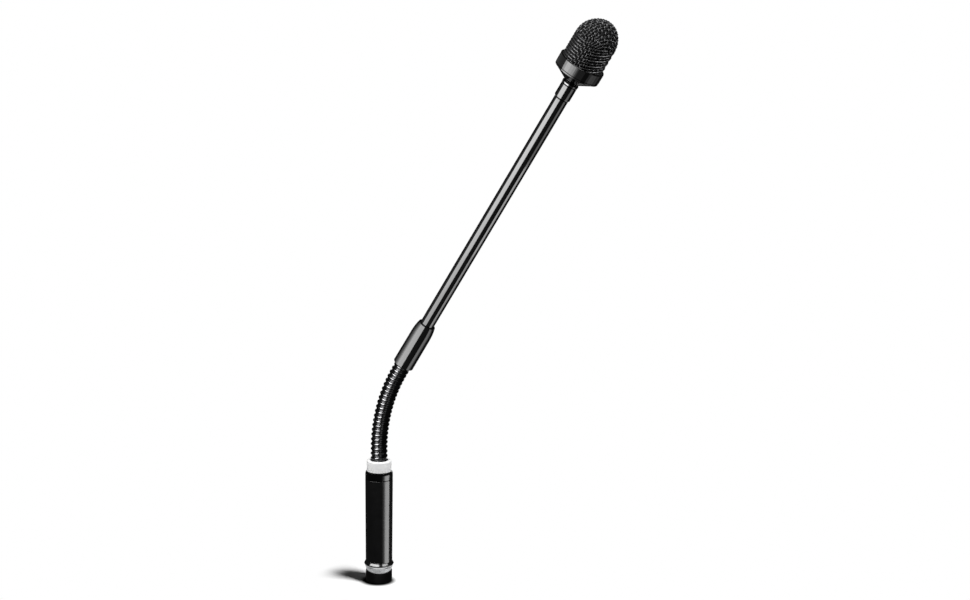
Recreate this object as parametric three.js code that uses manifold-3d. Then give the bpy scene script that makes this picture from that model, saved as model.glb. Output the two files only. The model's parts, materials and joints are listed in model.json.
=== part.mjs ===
// A gooseneck microphone that stands on its three-pin plug: a plug and amplifier housing at the foot,
// a light ring, a flexible metal neck, a rigid boom tube and a capsule behind a woven metal dome.
//
// Units are millimetres and +Z points up along the housing. The origin is the centre of the plug's
// lower rim. The neck leans towards +X, in the XZ plane. Every height on the neck and boom is a
// distance along the microphone's centreline, measured from the origin.

import * as THREE from 'three';
import { mergeVertices } from 'three/addons/utils/BufferGeometryUtils.js';
import Module from 'manifold-3d';

const wasm = await Module();
wasm.setup();

// ---- Driving dimensions -------------------------------------------------------------------------

const GAP = 0.3;                 // clearance between pieces that touch
const ROUND = 24;                // sides of the large round pieces
const SLIM = 16;                 // sides of the neck, the ferrules and the small round pieces
const WIRE_SIDES = 6;            // sides of the lead

// Plug and housing
const PLUG_RADIUS = 9.12;
const PLUG_NECK = 8.25;          // the plug's narrower part, inside the ring and the housing
const PLUG_BORE = 7.75;
const PLUG_SKIRT = 6.3;          // height of the plug's full-width skirt
const PLUG_TOP = 24;
const INSERT_BASE = 14.6;        // the insulator that carries the pins
const INSERT_TOP = 20;
const PIN_RADIUS = 1.2;
const PIN_CIRCLE = 4.0;          // distance of the pins from the plug's axis
const PIN_TIP = 1.5;
const PIN_TAIL = 24.5;
const RING_BASE = 6.6;           // bright threaded ring between plug and housing
const RING_TOP = 11.9;
const HOUSING_RADIUS = 9.6;        // at the top; the housing narrows slightly downwards
const HOUSING_FOOT = 9.27;         // radius just above the lip
const HOUSING_BORE = 8.55;
const HOUSING_BASE = 12.2;
const LIP_RADIUS = 10.35;        // flared foot of the housing
const LIP_TOP = 15;
const CAP_BASE = 73.9;           // the groove round the housing is the joint under this cap
const CAP_TOP = 79;
const LIGHT_RADIUS = 8.5;
const LIGHT_TOP = 87;
const LIGHT_SHOULDER = 1.6;

// Neck
const RIDGE_PITCH = 3.2;
const RIDGE_RADIUS = 5.85;
const ROOT_RADIUS = 5.15;        // between the ridges
const LINK_LENGTH = 2 * RIDGE_PITCH;
const LINK_COUNT = 10;           // links that move; the neck's root and tip are fixed at its ends
const NECK_BORE = 3.2;
const NECK_BASE = LIGHT_TOP + 0.4;
const SLEEVE_BASE = 160.4;
const FIRST_PIVOT = 91.7;
const BEND_BASE = 95.5;          // the neck is straight up to here,
const BEND_LENGTH = 59.2;        // then curves over this length
const BEND_ANGLE = THREE.MathUtils.degToRad(30.83);
const LEAD_RADIUS = 1.4;

// Boom and sleeve
const TUBE_RADIUS = 4.9;
const TUBE_BORE = 4.1;
const SLEEVE_RADIUS = 7.18;      // where the taper starts
const SLEEVE_FOOT = 7.35;        // at the lower end
const SLEEVE_TOP = 195.1;
const SLEEVE_TAPER = 184.5;      // the sleeve's curved taper starts here
const STEM_RADIUS = 5.35;        // socket between the tube and the head
const STEM_BASE = 380.8;
const STEM_TOP = 390.4;

// Head
const CONE_BASE = 392.6;
const COLLAR_BASE = 399.5;
const COLLAR_TOP = 407.9;
const COLLAR_RADIUS = 15.75;
const GRILLE_RADIUS = 14.25;
const GRILLE_WALL = 0.9;
const GRILLE_SHOULDER = 424.8;   // the dome starts here
const GRILLE_TOP = 439.1;
const DOME_SQUARENESS = 2.1;     // 2 would be an ellipse
const CAN_RADIUS = 8.2;
const CAN_BASE = 408.6;
const CAN_TOP = 418.5;

// ---- Materials ----------------------------------------------------------------------------------

function material(color, roughness, metalness, extra = {}) {
  return new THREE.MeshStandardMaterial({ color, roughness, metalness, ...extra });
}

const glossBlack = material(0x0c0c0d, 0.22, 0.3);
const satinBlack = material(0x161617, 0.4, 0.2);
const plugBlack = material(0x101011, 0.55, 0.1);
const neckBlack = material(0x1a1a1b, 0.35, 0.8);
const silver = material(0xcfd0d2, 0.3, 1.0);
const diffuser = material(0xf2f2ee, 0.45, 0.0);
const meshBlack = material(0x242425, 0.45, 0.7);
const foamBlack = material(0x0a0a0a, 0.95, 0.0);
const insulator = material(0x18181a, 0.5, 0.0);
const pinMetal = material(0xd8d2c0, 0.25, 1.0);
const brass = material(0xb89a4e, 0.35, 1.0);
const rubber = material(0x141414, 0.8, 0.0);
const boardGreen = material(0x1f5a38, 0.5, 0.0);
const chipBlack = material(0x1c1c1e, 0.6, 0.0);
const capacitorFoil = material(0x3a3f52, 0.4, 0.3);
const lampYellow = material(0xf4e9b0, 0.3, 0.0);
const capsuleMetal = material(0xb9bcc0, 0.3, 1.0);
const film = material(0xd9dadc, 0.15, 0.6);

// ---- Building blocks ----------------------------------------------------------------------------

const model = new THREE.Group();

function addPiece(parent, name, geometry, look) {
  const mesh = new THREE.Mesh(geometry, look);
  mesh.name = name;
  parent.add(mesh);
  return mesh;
}

// A solid of revolution about Z. The outline is [radius, height] points, outer side going up.
function turned(outline, sides = ROUND) {
  const points = outline.map(([radius, height]) => new THREE.Vector2(radius, height));
  return new THREE.LatheGeometry(points, sides).rotateX(Math.PI / 2);
}

// The same for an outline that goes round a hollow and closes on itself.
function turnedRing(outline, sides = ROUND) {
  return turned([...outline, outline[0]], sides);
}

function tube(outer, inner, base, top, sides = ROUND) {
  return turnedRing([[outer, base], [outer, top], [inner, top], [inner, base]], sides);
}

// Points of an arc in the [radius, height] plane; angles in degrees from the outward direction.
function arc(centreRadius, centreHeight, radius, from, to, steps) {
  const points = [];
  for (let i = 0; i <= steps; i += 1) {
    const angle = THREE.MathUtils.degToRad(from + ((to - from) * i) / steps);
    points.push([centreRadius + radius * Math.cos(angle), centreHeight + radius * Math.sin(angle)]);
  }
  return points;
}

function block(width, depth, height, x, y, z) {
  return new THREE.BoxGeometry(width, depth, height).translate(x, y, z);
}

// A flat plate, extruded upwards from its outline and holes.
function plate(outline, holes, base, thickness, curveSegments = 8) {
  const shape = new THREE.Shape();
  outline(shape);
  for (const [x, y, radius] of holes) {
    const hole = new THREE.Path();
    hole.absarc(x, y, radius, 0, 2 * Math.PI, true);
    shape.holes.push(hole);
  }
  const settings = { depth: thickness, bevelEnabled: false, curveSegments };
  return new THREE.ExtrudeGeometry(shape, settings).translate(0, 0, base);
}

function circleOutline(radius) {
  return (shape) => shape.absarc(0, 0, radius, 0, 2 * Math.PI, false);
}

function solidOf(geometry) {
  const bare = new THREE.BufferGeometry();
  bare.setAttribute('position', geometry.getAttribute('position').clone());
  if (geometry.index) bare.setIndex(geometry.index.clone());
  const merged = mergeVertices(bare, 1e-4);
  return new wasm.Manifold(new wasm.Mesh({
    numProp: 3,
    vertProperties: new Float32Array(merged.getAttribute('position').array),
    triVerts: new Uint32Array(merged.index.array),
  }));
}

function geometryOf(solid) {
  const mesh = solid.getMesh();
  const geometry = new THREE.BufferGeometry();
  geometry.setAttribute('position', new THREE.BufferAttribute(new Float32Array(mesh.vertProperties), 3));
  geometry.setIndex(new THREE.BufferAttribute(new Uint32Array(mesh.triVerts), 1));
  geometry.computeVertexNormals();
  return geometry;
}

function cutFrom(geometry, ...cutters) {
  return geometryOf(cutters.reduce((solid, cutter) => solid.subtract(solidOf(cutter)), solidOf(geometry)));
}

// A round lead along a route of points.
function lead(points) {
  const route = new THREE.CatmullRomCurve3(points.map((point) => new THREE.Vector3(...point)));
  const section = new THREE.Shape();
  section.absarc(0, 0, LEAD_RADIUS, 0, 2 * Math.PI, false);
  const steps = (points.length - 1) * 3;
  return new THREE.ExtrudeGeometry(section, { steps, extrudePath: route, curveSegments: WIRE_SIDES });
}

function straightLead(base, top) {
  return turned([[0, base], [LEAD_RADIUS, base], [LEAD_RADIUS, top], [0, top]], WIRE_SIDES);
}

// ---- The centreline -----------------------------------------------------------------------------

// The point at a distance along the centreline, and the lean from vertical there.
function onCentreline(distance) {
  if (distance <= BEND_BASE) return { x: 0, z: distance, lean: 0 };
  const radius = BEND_LENGTH / BEND_ANGLE;
  const along = Math.min(distance - BEND_BASE, BEND_LENGTH);
  const lean = along / radius;
  const beyond = distance - BEND_BASE - along;
  return {
    x: radius * (1 - Math.cos(lean)) + beyond * Math.sin(lean),
    z: BEND_BASE + radius * Math.sin(lean) + beyond * Math.cos(lean),
    lean,
  };
}

function pivotDistance(index) {
  return FIRST_PIVOT + index * LINK_LENGTH;
}

const LAST_PIVOT = pivotDistance(LINK_COUNT);

// ---- Plug ---------------------------------------------------------------------------------------

function buildPlug() {
  const shell = turnedRing([
    [PLUG_RADIUS - 0.25, 0],
    [PLUG_RADIUS, 0.25],
    [PLUG_RADIUS, PLUG_SKIRT],
    [PLUG_NECK, PLUG_SKIRT],
    [PLUG_NECK, PLUG_TOP],
    [PLUG_BORE, PLUG_TOP],
    [PLUG_BORE, 0],
  ]);
  const latchSlot = block(4, 4, 2.4, 0, PLUG_RADIUS, PLUG_SKIRT - 3.4);
  addPiece(model, 'xlr_shell', cutFrom(shell, latchSlot), plugBlack);

  const pinAngles = [0, 180, 270];
  const pinPlaces = pinAngles.map((degrees) => {
    const angle = THREE.MathUtils.degToRad(degrees);
    return [PIN_CIRCLE * Math.cos(angle), PIN_CIRCLE * Math.sin(angle)];
  });
  const pinHoles = pinPlaces.map(([x, y]) => [x, y, PIN_RADIUS + 0.15]);
  const insertThickness = INSERT_TOP - INSERT_BASE;
  addPiece(
    model,
    'xlr_insert',
    plate(circleOutline(PLUG_BORE - GAP), pinHoles, INSERT_BASE, insertThickness, 12),
    insulator,
  );
  pinPlaces.forEach(([x, y], index) => {
    const pin = turned([
      [0, PIN_TIP],
      ...arc(0, PIN_TIP + PIN_RADIUS, PIN_RADIUS, -60, 0, 2),
      [PIN_RADIUS, PIN_TAIL],
      [0, PIN_TAIL],
    ], 12);
    const piece = addPiece(model, `xlr_pin_${index + 1}`, pin, pinMetal);
    piece.position.set(x, y, 0);
  });

  const ringBore = PLUG_NECK + 0.25;
  const ring = turnedRing([
    [8.75, RING_BASE],
    [8.85, RING_BASE + 1.3],
    [9.0, RING_BASE + 1.45],
    [9.05, RING_BASE + 2.9],
    [9.3, RING_BASE + 3.05],
    [9.35, RING_BASE + 4.3],
    [9.8, RING_TOP - 0.6],
    [9.8, RING_TOP],
    [ringBore, RING_TOP],
    [ringBore, RING_BASE],
  ]);
  const notch = block(3.2, 3, 1.6, 0, 0, 0).translate(0, -9.6, RING_BASE);
  notch.rotateZ(THREE.MathUtils.degToRad(15));
  addPiece(model, 'thread_ring', cutFrom(ring, notch), silver);
}

// ---- Housing, light ring and electronics --------------------------------------------------------

function buildHousing() {
  const flare = 1.4;
  addPiece(model, 'base_housing', turnedRing([
    [LIP_RADIUS - 0.35, HOUSING_BASE],
    [LIP_RADIUS, HOUSING_BASE + 0.35],
    [LIP_RADIUS, HOUSING_BASE + 0.75],
    [HOUSING_FOOT + 0.25, LIP_TOP - flare],
    [HOUSING_FOOT, LIP_TOP],
    [HOUSING_RADIUS, CAP_BASE - GAP],
    [HOUSING_BORE, CAP_BASE - GAP],
    [HOUSING_BORE, HOUSING_BASE],
  ]), satinBlack);

  const spigotRadius = HOUSING_BORE - GAP;
  const recessFloor = CAP_TOP - 2.6;
  addPiece(model, 'housing_top_cap', turnedRing([
    [spigotRadius, CAP_BASE - 4],
    [spigotRadius, CAP_BASE],
    [HOUSING_RADIUS, CAP_BASE],
    [HOUSING_RADIUS - 0.05, CAP_TOP - 1],
    [HOUSING_RADIUS - 0.55, CAP_TOP],
    [LIGHT_RADIUS - 0.15, CAP_TOP],
    [LIGHT_RADIUS - 0.15, recessFloor],
    [6.3, recessFloor],
    [6.3, CAP_BASE - 4],
  ]), satinBlack);

  const ledBoardBase = recessFloor + GAP;
  addPiece(model, 'led_board', tube(8.0, 6.4, ledBoardBase, ledBoardBase + 0.8), boardGreen);
  const ledCount = 2;
  for (let i = 0; i < ledCount; i += 1) {
    const led = block(1.4, 1.8, 0.7, 7.2, 0, ledBoardBase + 0.8 + 0.4);
    const piece = addPiece(model, `led_${i + 1}`, led, lampYellow);
    piece.rotation.z = (2 * Math.PI * i) / ledCount;
  }

  const lightBase = CAP_TOP + GAP;
  addPiece(model, 'light_ring', turnedRing([
    [LIGHT_RADIUS, lightBase],
    ...arc(LIGHT_RADIUS - LIGHT_SHOULDER, LIGHT_TOP - LIGHT_SHOULDER, LIGHT_SHOULDER, 0, 90, 5),
    [RIDGE_RADIUS + GAP, LIGHT_TOP],
    [RIDGE_RADIUS + GAP, LIGHT_TOP - 1.5],
    [6.3, LIGHT_TOP - 2],
    [6.3, lightBase],
  ]), diffuser);

  const bushFoot = CAP_BASE - 7.5;
  addPiece(model, 'neck_root_bush', tube(6.0, 5.0, bushFoot, LIGHT_TOP - 2.6, SLIM), brass);
  const nut = plate((shape) => {
    for (let i = 0; i < 6; i += 1) {
      const angle = (i * Math.PI) / 3;
      const corner = [8.1 * Math.cos(angle), 8.1 * Math.sin(angle)];
      if (i === 0) shape.moveTo(...corner);
      else shape.lineTo(...corner);
    }
    shape.closePath();
  }, [[0, 0, 6.3]], CAP_BASE - 4 - GAP - 2.6, 2.6, 10);
  addPiece(model, 'neck_lock_nut', nut, brass);
}

function buildElectronics() {
  const boardBase = PIN_TAIL + 1.5;
  const boardTop = 62;
  const boardFace = -0.6;
  const middle = (boardBase + boardTop) / 2;
  addPiece(
    model,
    'preamp_board',
    block(14, 1.2, boardTop - boardBase, 0, boardFace - 0.6 - GAP, middle),
    boardGreen,
  );
  addPiece(model, 'amplifier_chip', block(5, 1.6, 4, 0, boardFace + 0.8, middle + 8), chipBlack);
  addPiece(model, 'led_driver_chip', block(3, 1.2, 3, 3.5, boardFace + 0.6, boardTop - 4), chipBlack);
  const can = turned([[0, 0], [2.5, 0], [2.5, 5.8], [2.1, 6.2], [0, 6.2]], 12).rotateX(-Math.PI / 2);
  const places = [[-3, 35], [3, 35]];
  places.forEach(([x, z], index) => {
    const piece = addPiece(model, `coupling_capacitor_${index + 1}`, can.clone(), capacitorFoil);
    piece.position.set(x, boardFace, z);
  });
  const leadFoot = boardTop - 6;
  const leadFace = boardFace + LEAD_RADIUS + 0.2;
  addPiece(model, 'lead_base', lead([
    [0, leadFace, leadFoot],
    [0, leadFace, leadFoot + 3],
    [0, leadFace / 2, boardTop],
    [0, 0, boardTop + 5],
    [0, 0, (boardTop + FIRST_PIVOT) / 2],
    [0, 0, FIRST_PIVOT - 0.2],
  ]), rubber);
}

// ---- Neck ---------------------------------------------------------------------------------------

// Each link is a short tube with ridges. Its upper end is a ball that sits in the next link's hollow
// lower end, and the centre of that ball is the pivot.
const BALL_RADIUS = 4.4;
const SOCKET_RADIUS = 4.65;
const BALL_RISE = 1.8;           // how far the ball reaches past the pivot
const SKIRT = 0.72;              // distance from the pivot to the link's outer wall, either side
const SOCKET_DEPTH = 3.0;

function ridge(centre) {
  return [
    [ROOT_RADIUS, centre - 0.7],
    [RIDGE_RADIUS, centre],
    [ROOT_RADIUS, centre + 0.7],
  ];
}

function ballEnd(pivot) {
  const lowest = Math.asin(SKIRT / BALL_RADIUS);
  const highest = Math.asin(BALL_RISE / BALL_RADIUS);
  const degrees = THREE.MathUtils.radToDeg;
  return arc(0, pivot, BALL_RADIUS, -degrees(lowest), degrees(highest), 2);
}

function ridgesBetween(base, top) {
  const points = [];
  const half = RIDGE_PITCH / 2;
  for (let centre = base + half; centre < top - half / 2; centre += RIDGE_PITCH) {
    points.push(...ridge(centre));
  }
  return points;
}

function linkGeometry() {
  return turnedRing([
    [ROOT_RADIUS, SKIRT],
    ...ridgesBetween(0, LINK_LENGTH),
    [ROOT_RADIUS, LINK_LENGTH - SKIRT],
    ...ballEnd(LINK_LENGTH),
    [NECK_BORE, LINK_LENGTH + BALL_RISE],
    [NECK_BORE, SOCKET_DEPTH],
    [SOCKET_RADIUS, SOCKET_DEPTH],
    [SOCKET_RADIUS, SKIRT],
  ], SLIM);
}

function buildNeck() {
  addPiece(model, 'neck_root', turnedRing([
    [4.7, CAP_BASE - 5],
    [4.7, NECK_BASE - 2.5],
    [ROOT_RADIUS, NECK_BASE - 2.2],
    ...ridgesBetween(FIRST_PIVOT - 2 * RIDGE_PITCH, FIRST_PIVOT),
    [ROOT_RADIUS, FIRST_PIVOT - SKIRT],
    ...ballEnd(FIRST_PIVOT),
    [NECK_BORE, FIRST_PIVOT + BALL_RISE],
    [NECK_BORE, CAP_BASE - 5],
  ], SLIM), neckBlack);

  for (let i = 0; i < LINK_COUNT; i += 1) {
    const lower = onCentreline(pivotDistance(i));
    const upper = onCentreline(pivotDistance(i + 1));
    const link = new THREE.Group();
    link.position.set(lower.x, 0, lower.z);
    link.rotation.y = Math.atan2(upper.x - lower.x, upper.z - lower.z);
    const number = String(i + 1).padStart(2, '0');
    addPiece(link, `neck_link_${number}`, linkGeometry(), neckBlack);
    addPiece(link, `lead_link_${number}`, straightLead(0.2, LINK_LENGTH - 0.2), rubber);
    model.add(link);
  }
}

// ---- Boom and head ------------------------------------------------------------------------------

// In this group, height is the distance along the centreline from the origin.
function makeBoom() {
  const boom = new THREE.Group();
  const { x, z, lean } = onCentreline(LAST_PIVOT);
  boom.position.set(x - LAST_PIVOT * Math.sin(lean), 0, z - LAST_PIVOT * Math.cos(lean));
  boom.rotation.y = lean;
  model.add(boom);
  return boom;
}

function buildBoom(boom) {
  addPiece(boom, 'neck_tip', turnedRing([
    [ROOT_RADIUS, LAST_PIVOT + SKIRT],
    ...ridgesBetween(LAST_PIVOT, LAST_PIVOT + 1.5 * RIDGE_PITCH),
    [ROOT_RADIUS, SLEEVE_BASE + 0.4],
    [4.6, SLEEVE_BASE + 0.8],
    [4.6, 176],
    [NECK_BORE, 176],
    [NECK_BORE, LAST_PIVOT + SOCKET_DEPTH],
    [SOCKET_RADIUS, LAST_PIVOT + SOCKET_DEPTH],
    [SOCKET_RADIUS, LAST_PIVOT + SKIRT],
  ], SLIM), neckBlack);
  addPiece(boom, 'neck_top_ferrule', tube(5.6, 4.9, 162.5, 176.5, SLIM), brass);

  const sleeveBore = 5.9;
  const tubeSeat = 177;
  const taper = [];
  for (let i = 0; i <= 4; i += 1) {
    const share = i / 4;
    taper.push([
      SLEEVE_RADIUS - 1.15 * share ** 2.2,
      SLEEVE_TAPER + (SLEEVE_TOP - 0.5 - SLEEVE_TAPER) * share,
    ]);
  }
  addPiece(boom, 'coupling_sleeve', turnedRing([
    [SLEEVE_FOOT - 0.2, SLEEVE_BASE],
    [SLEEVE_FOOT, SLEEVE_BASE + 0.2],
    ...taper,
    [5.6, SLEEVE_TOP],
    [TUBE_RADIUS + GAP, SLEEVE_TOP],
    [TUBE_RADIUS + GAP, tubeSeat],
    [sleeveBore, tubeSeat],
    [sleeveBore, SLEEVE_BASE],
  ]), glossBlack);

  addPiece(boom, 'boom_tube', tube(TUBE_RADIUS, TUBE_BORE, tubeSeat + GAP, STEM_BASE - GAP), glossBlack);
  addPiece(boom, 'lead_boom', straightLead(LAST_PIVOT + 0.2, 404), rubber);

  const spigotRadius = TUBE_BORE - GAP;
  addPiece(boom, 'head_stem', turnedRing([
    [spigotRadius, STEM_BASE - 9],
    [spigotRadius, STEM_BASE],
    [STEM_RADIUS - 0.35, STEM_BASE],
    [STEM_RADIUS, STEM_BASE + 0.35],
    [STEM_RADIUS, STEM_TOP],
    [spigotRadius, STEM_TOP],
    [spigotRadius, STEM_TOP + 6],
    [2.4, STEM_TOP + 6],
    [2.4, STEM_BASE - 9],
  ]), glossBlack);
  addPiece(boom, 'stem_shoulder_ring', turnedRing([
    [STEM_RADIUS, STEM_TOP + GAP],
    [STEM_RADIUS + 0.2, STEM_TOP + 0.6],
    [STEM_RADIUS + 0.2, CONE_BASE - 0.7],
    [STEM_RADIUS, CONE_BASE - GAP],
    [spigotRadius + GAP, CONE_BASE - GAP],
    [spigotRadius + GAP, STEM_TOP + GAP],
  ]), glossBlack);
}

function buildHead(boom) {
  const coneTopRadius = COLLAR_RADIUS - 0.9;
  const floor = COLLAR_BASE + 2.2;
  addPiece(boom, 'head_cone', turnedRing([
    [5.2, CONE_BASE],
    [5.5, CONE_BASE + 1],
    [coneTopRadius, COLLAR_BASE],
    [13.6, COLLAR_BASE + 0.6],
    [13.6, floor],
    [4.1, floor],
    [4.1, CONE_BASE],
  ]), satinBlack);

  const collarBore = 13.6 + GAP;
  const grilleSeat = COLLAR_TOP - 3;
  addPiece(boom, 'head_collar', turnedRing([
    [COLLAR_RADIUS - 0.55, COLLAR_BASE + GAP],
    [COLLAR_RADIUS, COLLAR_BASE + 0.95],
    ...arc(COLLAR_RADIUS - 0.6, COLLAR_TOP - 0.6, 0.6, 0, 90, 3),
    [GRILLE_RADIUS + GAP, COLLAR_TOP],
    [GRILLE_RADIUS + GAP, grilleSeat],
    [collarBore, grilleSeat],
    [collarBore, COLLAR_BASE + 0.6 + GAP],
    [coneTopRadius + 0.15, COLLAR_BASE + GAP],
  ]), glossBlack);

  buildGrille(boom, grilleSeat + GAP);
  buildCapsule(boom, floor);
}

// Half outline of the dome, from its foot to its top, at an offset inside the outer surface.
function domeOutline(foot, inset, steps) {
  const radius = GRILLE_RADIUS - inset;
  const height = GRILLE_TOP - GRILLE_SHOULDER - inset;
  const points = [[radius, foot]];
  for (let i = 0; i <= steps; i += 1) {
    const angle = (i / steps) * (Math.PI / 2);
    const out = i === steps ? 0 : Math.cos(angle) ** (2 / DOME_SQUARENESS);
    points.push([radius * out, GRILLE_SHOULDER + height * Math.sin(angle) ** (2 / DOME_SQUARENESS)]);
  }
  return points;
}

// A dome-shaped shell with an open foot.
function domeShell(foot, outerInset, innerInset, steps) {
  const outer = domeOutline(foot, outerInset, steps);
  const inner = domeOutline(foot, innerInset, steps).reverse();
  return [...outer, ...inner, outer[0]];
}

function buildGrille(boom, foot) {
  addPiece(boom, 'grille_mesh', turned(domeShell(foot, 0, GRILLE_WALL, 7)), meshBlack);
  const clampTop = foot + 2.2;
  addPiece(boom, 'grille_clamp_ring', tube(GRILLE_RADIUS - GRILLE_WALL - GAP, 11.8, foot, clampTop), brass);
  const foamInset = GRILLE_WALL + GAP;
  addPiece(
    boom,
    'foam_liner',
    turned(domeShell(clampTop + GAP, foamInset, foamInset + 2.2, 5)),
    foamBlack,
  );
}

function buildCapsule(boom, floor) {
  addPiece(boom, 'capsule_mount', turnedRing([
    [10.6, floor + GAP],
    [10.6, floor + 2.4],
    [9.4, CAN_BASE + 3.4],
    [CAN_RADIUS + GAP, CAN_BASE + 3.4],
    [CAN_RADIUS + GAP, CAN_BASE - GAP],
    [3.4, CAN_BASE - GAP],
    [3.4, floor + GAP],
  ]), rubber);
  const inside = CAN_RADIUS - 0.5;
  const boardTop = CAN_BASE + 1.4;
  addPiece(boom, 'capsule_board', turned([
    [0, CAN_BASE], [inside - GAP, CAN_BASE], [inside - GAP, boardTop], [0, boardTop],
  ]), boardGreen);
  addPiece(boom, 'capsule_can', turnedRing([
    [CAN_RADIUS, CAN_BASE],
    [CAN_RADIUS, CAN_TOP - 0.5],
    [CAN_RADIUS - 0.5, CAN_TOP],
    [3.2, CAN_TOP],
    [3.2, CAN_TOP - 0.7],
    [inside, CAN_TOP - 0.7],
    [inside, CAN_BASE],
  ]), capsuleMetal);
  const backplateTop = CAN_TOP - 3.4;
  addPiece(boom, 'capsule_backplate', turned([
    [0, backplateTop - 1.2], [inside - GAP, backplateTop - 1.2],
    [inside - GAP, backplateTop], [0, backplateTop],
  ]), brass);
  addPiece(
    boom,
    'diaphragm_ring',
    tube(inside - GAP, inside - 1.6, backplateTop + 0.8 + 2 * GAP, CAN_TOP - 0.7 - GAP),
    capsuleMetal,
  );
  addPiece(boom, 'capsule_diaphragm', turned([
    [0, backplateTop + GAP], [inside - GAP, backplateTop + GAP],
    [inside - GAP, backplateTop + GAP + 0.5], [0, backplateTop + GAP + 0.5],
  ]), film);
}

// ---- Assembly -----------------------------------------------------------------------------------

buildPlug();
buildHousing();
buildElectronics();
buildNeck();
const boom = makeBoom();
buildBoom(boom);
buildHead(boom);

export default model;
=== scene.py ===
"""Looks for the gooseneck microphone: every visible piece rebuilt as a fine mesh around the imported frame.

Lengths are millimetres, and become Blender's metres where they meet MM. The origin is the centre of the
plug's lower rim, +Z is up, and the neck leans towards +X. Heights on the neck and boom are distances along
the microphone's centreline.
"""

import math

import bpy
import numpy as np
from mathutils import Matrix, Vector
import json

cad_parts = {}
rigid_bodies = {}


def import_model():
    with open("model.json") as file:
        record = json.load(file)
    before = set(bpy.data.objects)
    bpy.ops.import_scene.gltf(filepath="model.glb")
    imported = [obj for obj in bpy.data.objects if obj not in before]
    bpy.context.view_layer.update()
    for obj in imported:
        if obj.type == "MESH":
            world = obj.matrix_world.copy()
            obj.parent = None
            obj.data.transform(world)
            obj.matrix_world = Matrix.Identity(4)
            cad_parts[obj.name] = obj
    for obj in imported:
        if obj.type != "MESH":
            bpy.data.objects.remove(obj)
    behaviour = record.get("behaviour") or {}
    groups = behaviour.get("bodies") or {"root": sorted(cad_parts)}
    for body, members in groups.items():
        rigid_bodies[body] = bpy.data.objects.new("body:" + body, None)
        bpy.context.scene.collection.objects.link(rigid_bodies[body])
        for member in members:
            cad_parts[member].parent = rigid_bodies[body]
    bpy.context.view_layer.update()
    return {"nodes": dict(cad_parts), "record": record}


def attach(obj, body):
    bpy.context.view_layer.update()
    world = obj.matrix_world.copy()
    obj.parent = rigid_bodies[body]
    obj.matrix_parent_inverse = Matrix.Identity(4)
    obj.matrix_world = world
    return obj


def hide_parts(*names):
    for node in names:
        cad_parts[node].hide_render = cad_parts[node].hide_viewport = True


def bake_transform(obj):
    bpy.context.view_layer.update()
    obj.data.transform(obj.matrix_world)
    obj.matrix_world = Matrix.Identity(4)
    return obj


MM = 0.001

# ---- Dimensions, in millimetres ----

ROUND = 128               # columns of a turned piece
SHARP_ANGLE = 32          # edges sharper than this stay crisp, in degrees
GAP = 0.3                 # between pieces that touch, as in the CAD

PLUG_RADIUS = 9.12
PLUG_NECK = 8.25          # the thinner part, inside the bright ring
PLUG_BORE = 7.75
PLUG_SKIRT = 6.3          # height of the part below the bright ring
PLUG_TOP = 24.0
LATCH_SIZE = (4, 4, 2.4)  # slot for the socket's latch, at the back
LATCH_HEIGHT = PLUG_SKIRT - 3.4
INSERT_BASE = 14.6
INSERT_TOP = 20.0
INSERT_GROOVE = (6.2, 6.4, 6.9, 7.1)    # radii of the corners of the groove in its face
INSERT_DEPTH = 0.35       # depth of that groove
INSERT_HOLE = 0.02        # the disc is turned as a ring, which leaves a hole this small
PIN_RADIUS = 1.2
PIN_CIRCLE = 4.0
PIN_TIP = 1.5
PIN_TAIL = 24.5
PIN_TURNS = (0, 180, 270)  # directions of the pins, in degrees from +X
PIN_COLUMNS = 32
RING_BASE = 6.6
RING_TOP = 11.9
RING_STEPS = ((8.78, 1.2), (8.98, 2.5), (9.25, 3.7))    # radius and height of each groove
RING_GROOVE = 0.25        # depth of a groove
RING_FOOT = 8.45
RING_WAIST = 8.72
RING_RIM = 9.85
NOTCH_SIZE = (2.0, 3, 1.3)  # small notch in the bright ring's lower edge
NOTCH_RADIUS = 9.6
NOTCH_TURN = 36           # its direction, in degrees from -Y
LOBE_FRONT = 0.15         # the edge between plug and ring rises this much in front
LOBE_RISE = 1.3           # and this much more at the sides
LOBE_TURN = -60           # direction of the lower part, in degrees from +X
LOBE_FOOT = 3             # the wave in that edge starts at this height
LOBE_TOP = RING_TOP - 2   # and has faded out at this one

HOUSING_RADIUS = 9.6      # at the top; the housing narrows slightly downwards
HOUSING_FOOT = 9.27       # just above the lip
HOUSING_BORE = 8.55
HOUSING_BASE = 12.2
LIP_RADIUS = 10.35
LIP_TOP = 15.0
CAP_BASE = 73.9
CAP_TOP = 79.0
CAP_RECESS = 2.6          # depth of the seat for the light ring
CAP_SPIGOT = 4            # length of the part inside the housing
LIGHT_RADIUS = 8.5
LIGHT_TOP = 87.0
NECK_OPENING = 6.3        # hole in the cap and the light ring

RIDGE_PITCH = 3.32
RIDGE_PHASE = 1.8         # height of the first ridge on the +X side
RIDGE_RADIUS = 5.88
RIDGE_HALF = 0.27         # half width of the round wire, as a share of the pitch
ROOT_RADIUS = 5.12
NECK_BORE = 3.3
NECK_COLUMNS = 80
NECK_STEP = 0.14          # spacing of the rows of points along the neck
NECK_END = 166            # the neck's tip reaches up into the sleeve to here
LINK_LENGTH = 6.4
LINK_COUNT = 10
FIRST_PIVOT = 91.7
BEND_BASE = 95.5          # the neck is straight up to here,
BEND_LENGTH = 59.2        # then curves over this length
BEND_ANGLE = math.radians(30.83)

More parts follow.
